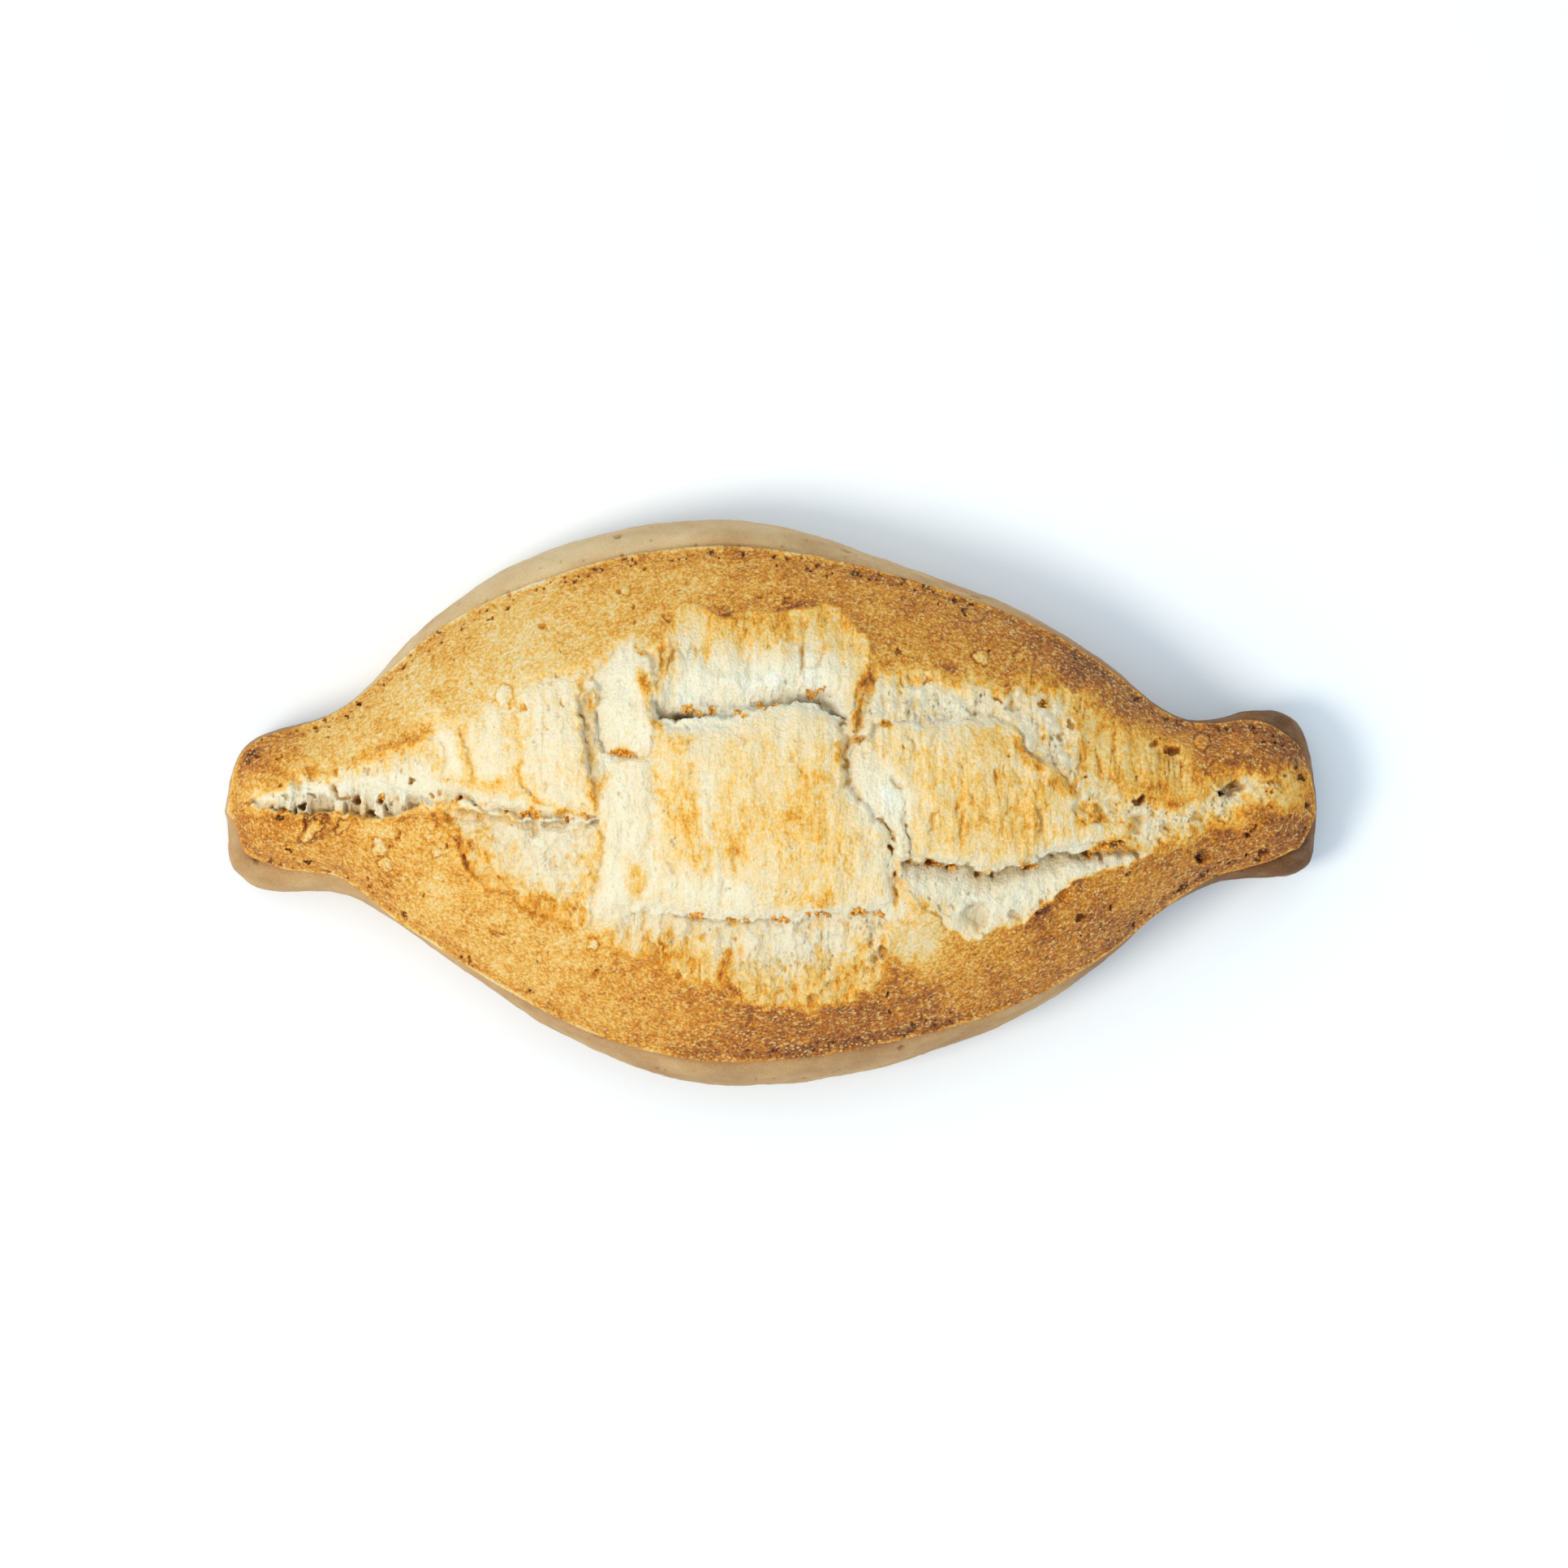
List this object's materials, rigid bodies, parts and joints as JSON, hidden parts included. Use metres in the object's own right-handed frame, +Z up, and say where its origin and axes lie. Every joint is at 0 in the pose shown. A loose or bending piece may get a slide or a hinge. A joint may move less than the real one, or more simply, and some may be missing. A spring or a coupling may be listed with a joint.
{
  "type": "sourdough loaf",
  "caption": "Long boat-shaped hearth loaf that narrows to a blunt lobed knob at each end, with a domed slashed crust, a crisp rim, a smooth side band and a flat base.",
  "frame": {"origin": "on the table surface under the middle of the loaf's bounding box", "axes": "+X along the loaf, +Y across it towards its back, +Z up out of the crust"},
  "size_m": [0.28, 0.145, 0.076],
  "materials": {
    "crust": "matt baked crust, golden brown on the outside, cream where it tore open"
  },
  "bodies": {
    "root": {"loaf": "crust"}
  },
  "joints": []
}
